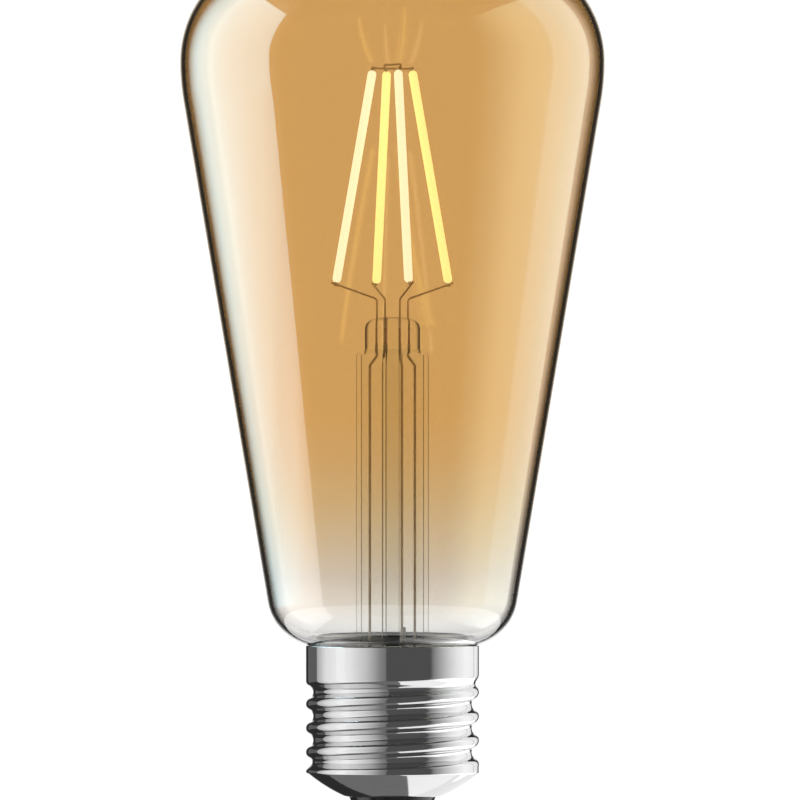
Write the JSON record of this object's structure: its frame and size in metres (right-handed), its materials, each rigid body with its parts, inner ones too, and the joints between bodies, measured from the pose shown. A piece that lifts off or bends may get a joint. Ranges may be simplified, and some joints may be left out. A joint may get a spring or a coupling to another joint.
{
  "type": "light bulb",
  "caption": "Tapered amber glass lamp bulb with upright glowing filament strips on a glass stem, a screw cap, and a radio driver board hidden in the cap.",
  "frame": {"origin": "centre of the end contact's flat face, on the lamp's axis, with the cap down", "axes": "+Z along the lamp's axis from the end contact to the top of the glass; +X to the right and +Y away from a viewer in front"},
  "size_m": [0.064, 0.064, 0.14],
  "materials": {
    "amber_glass": "clear, coated amber on the crown and fading to clear at the foot",
    "clear_glass": "clear, fire-polished",
    "phosphor": "soft silicone loaded with phosphor, lit",
    "strip": "smooth",
    "led_die": "polished",
    "nickel": "drawn wire and stamped strip",
    "sealing_copper": "oxidised copper under glass",
    "tinned_copper": "tinned",
    "plated_cap": "bright nickel plate",
    "black_insulator": "gloss black glass",
    "tinned_contact": "solder over brass",
    "cement": "baked, matte",
    "sleeve_plastic": "moulded",
    "board": "solder mask",
    "capacitor_can": "shrink sleeve over aluminium",
    "ferrite": "sintered",
    "copper_winding": "enamelled wire",
    "resistor_body": "lacquered",
    "chip_package": "moulded, with tinned leads",
    "chip_ceramic": "fired",
    "shield_metal": "tinned sheet",
    "grey_insulation": "wire insulation",
    "red_insulation": "wire insulation",
    "solder": "bright"
  },
  "bodies": {
    "root": {"glass_envelope": "amber_glass", "glass_stem": "clear_glass", "exhaust_tube": "clear_glass", "seal_bead": "clear_glass", "filament_coating_1": "phosphor", "filament_coating_2": "phosphor", "filament_coating_3": "phosphor", "filament_coating_4": "phosphor", "filament_substrate_1": "strip", "filament_substrate_2": "strip", "filament_substrate_3": "strip", "filament_substrate_4": "strip", "filament_chips_1": "led_die", "filament_chips_2": "led_die", "filament_chips_3": "led_die", "filament_chips_4": "led_die", "filament_bottom_tab_1": "nickel", "filament_bottom_tab_2": "nickel", "filament_bottom_tab_3": "nickel", "filament_bottom_tab_4": "nickel", "filament_top_tab_1": "nickel", "filament_top_tab_2": "nickel", "filament_top_tab_3": "nickel", "filament_top_tab_4": "nickel", "support_wire_1": "nickel", "support_wire_2": "nickel", "support_wire_3": "nickel", "support_wire_4": "nickel", "lower_bridge_wire": "nickel", "upper_bridge_wire": "nickel", "seal_wire_1": "sealing_copper", "seal_wire_2": "sealing_copper", "seal_wire_3": "sealing_copper", "seal_wire_4": "sealing_copper", "lead_wire_1": "tinned_copper", "lead_wire_2": "tinned_copper", "lead_wire_3": "tinned_copper", "lead_wire_4": "tinned_copper", "neutral_wire": "tinned_copper", "screw_shell": "plated_cap", "base_insulator": "black_insulator", "centre_contact": "tinned_contact", "capping_cement": "cement", "driver_sleeve": "sleeve_plastic", "driver_board": "board", "radio_board": "board", "bulk_capacitor": "capacitor_can", "inductor_core": "ferrite", "inductor_winding": "copper_winding", "fusible_resistor": "resistor_body", "rectifier": "chip_package", "driver_chip": "chip_package", "dimming_transistors": "chip_package", "small_parts": "chip_ceramic", "radio_shield": "shield_metal", "antenna_wire": "grey_insulation", "live_wire": "red_insulation", "solder_joints": "solder"}
  },
  "joints": []
}
